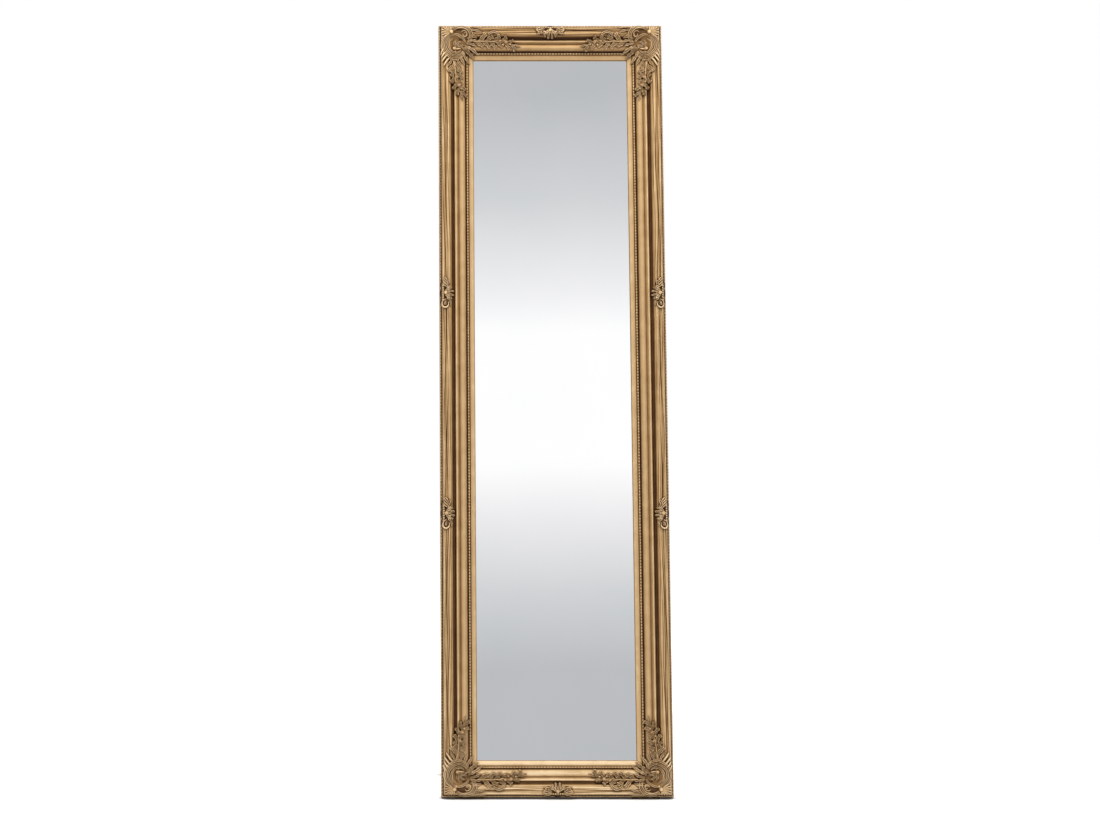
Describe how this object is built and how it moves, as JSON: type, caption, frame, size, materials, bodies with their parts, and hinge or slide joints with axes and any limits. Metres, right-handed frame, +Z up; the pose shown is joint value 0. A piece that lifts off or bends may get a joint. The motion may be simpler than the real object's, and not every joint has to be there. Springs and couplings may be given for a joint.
{
  "type": "floor mirror",
  "caption": "Tall floor mirror in a gilt moulded frame with corner and centre leaf ornaments, leaning on a folding easel strut with stay chains.",
  "frame": {"origin": "on the floor, midway between the moulding's front and the strut's feet, centred across the frame", "axes": "+X to the viewer's right when facing the mirror, +Y away from the viewer, +Z up"},
  "size_m": [0.5, 0.3441, 1.6997],
  "materials": {
    "gilt_wood": "antique champagne-gold leaf over gesso, toned dark in the recesses",
    "gilt_casting": "cast composition ornament, gilded and toned like the moulding",
    "mirror": "silvered float glass",
    "foam": "thin closed-cell foam sheet",
    "hardboard": "smooth brown hardboard",
    "strut_wood": "planed pine, satin lacquer",
    "dowel_wood": "fluted beech dowel",
    "zinc_steel": "zinc-plated steel",
    "brass_plate": "brass-plated steel, satin",
    "rubber": "matt black rubber"
  },
  "bodies": {
    "frame": {"backing_board": "hardboard", "bottom_rail": "gilt_wood", "chain_eyes_frame": "zinc_steel", "corner_ornament_bottom_left": "gilt_casting", "corner_ornament_bottom_right": "gilt_casting", "corner_ornament_top_left": "gilt_casting", "corner_ornament_top_right": "gilt_casting", "floor_pad_left": "rubber", "floor_pad_right": "rubber", "foam_sheet": "foam", "hanger_plate_left": "zinc_steel", "hanger_plate_right": "zinc_steel", "hanger_screws": "zinc_steel", "hinge_fixed_leaf_left": "brass_plate", "hinge_fixed_leaf_right": "brass_plate", "hinge_pin_left": "brass_plate", "hinge_pin_right": "brass_plate", "hinge_screws_frame": "brass_plate", "left_stile": "gilt_wood", "middle_ornament_bottom": "gilt_casting", "middle_ornament_top": "gilt_casting", "mirror_glass": "mirror", "mitre_nails": "zinc_steel", "right_stile": "gilt_wood", "side_ornament_left_lower": "gilt_casting", "side_ornament_left_upper": "gilt_casting", "side_ornament_right_lower": "gilt_casting", "side_ornament_right_upper": "gilt_casting", "stay_chain_left": "zinc_steel", "stay_chain_right": "zinc_steel", "top_rail": "gilt_wood", "turn_button_screws": "zinc_steel"},
    "strut": {"chain_eyes_strut": "zinc_steel", "hinge_moving_leaf_left": "brass_plate", "hinge_moving_leaf_right": "brass_plate", "hinge_screws_strut": "brass_plate", "strut_dowels": "dowel_wood", "strut_foot_left": "rubber", "strut_foot_rail": "strut_wood", "strut_foot_right": "rubber", "strut_head_rail": "strut_wood", "strut_leg_left": "strut_wood", "strut_leg_right": "strut_wood"},
    "turn_button_left_lower": {"turn_button_left_lower": "zinc_steel"},
    "turn_button_left_middle": {"turn_button_left_middle": "zinc_steel"},
    "turn_button_left_upper": {"turn_button_left_upper": "zinc_steel"},
    "turn_button_right_lower": {"turn_button_right_lower": "zinc_steel"},
    "turn_button_right_middle": {"turn_button_right_middle": "zinc_steel"},
    "turn_button_right_upper": {"turn_button_right_upper": "zinc_steel"},
    "hanger_ring_left": {"hanger_ring_left": "zinc_steel"},
    "hanger_ring_right": {"hanger_ring_right": "zinc_steel"}
  },
  "joints": [
    {"name": "strut_fold", "type": "hinge", "parent": "frame", "child": "strut", "pos_m": [0, 0.02423, 1.24049], "axis": [1, 0, 0], "range_deg": [-13.3, 0], "deforming": ["stay_chain_left", "stay_chain_right"]},
    {"name": "button_turn_left_lower", "type": "hinge", "parent": "frame", "child": "turn_button_left_lower", "pos_m": [-0.1878, -0.09841, 0.29339], "axis": [0, -0.9919, 0.1271], "range_deg": [-90, 90]},
    {"name": "button_turn_left_middle", "type": "hinge", "parent": "frame", "child": "turn_button_left_middle", "pos_m": [-0.1878, -0.02725, 0.84885], "axis": [0, -0.9919, 0.1271], "range_deg": [-90, 90]},
    {"name": "button_turn_left_upper", "type": "hinge", "parent": "frame", "child": "turn_button_left_upper", "pos_m": [-0.1878, 0.0439, 1.40431], "axis": [0, -0.9919, 0.1271], "range_deg": [-90, 90]},
    {"name": "button_turn_right_lower", "type": "hinge", "parent": "frame", "child": "turn_button_right_lower", "pos_m": [0.1878, -0.09841, 0.29339], "axis": [0, -0.9919, 0.1271], "range_deg": [-90, 90]},
    {"name": "button_turn_right_middle", "type": "hinge", "parent": "frame", "child": "turn_button_right_middle", "pos_m": [0.1878, -0.02725, 0.84885], "axis": [0, -0.9919, 0.1271], "range_deg": [-90, 90]},
    {"name": "button_turn_right_upper", "type": "hinge", "parent": "frame", "child": "turn_button_right_upper", "pos_m": [0.1878, 0.0439, 1.40431], "axis": [0, -0.9919, 0.1271], "range_deg": [-90, 90]},
    {"name": "ring_swing_left", "type": "hinge", "parent": "frame", "child": "hanger_ring_left", "pos_m": [-0.215, 0.05576, 1.48849], "axis": [1, 0, 0], "range_deg": [-6, 150]},
    {"name": "ring_swing_right", "type": "hinge", "parent": "frame", "child": "hanger_ring_right", "pos_m": [0.215, 0.05576, 1.48849], "axis": [1, 0, 0], "range_deg": [-6, 150]}
  ]
}
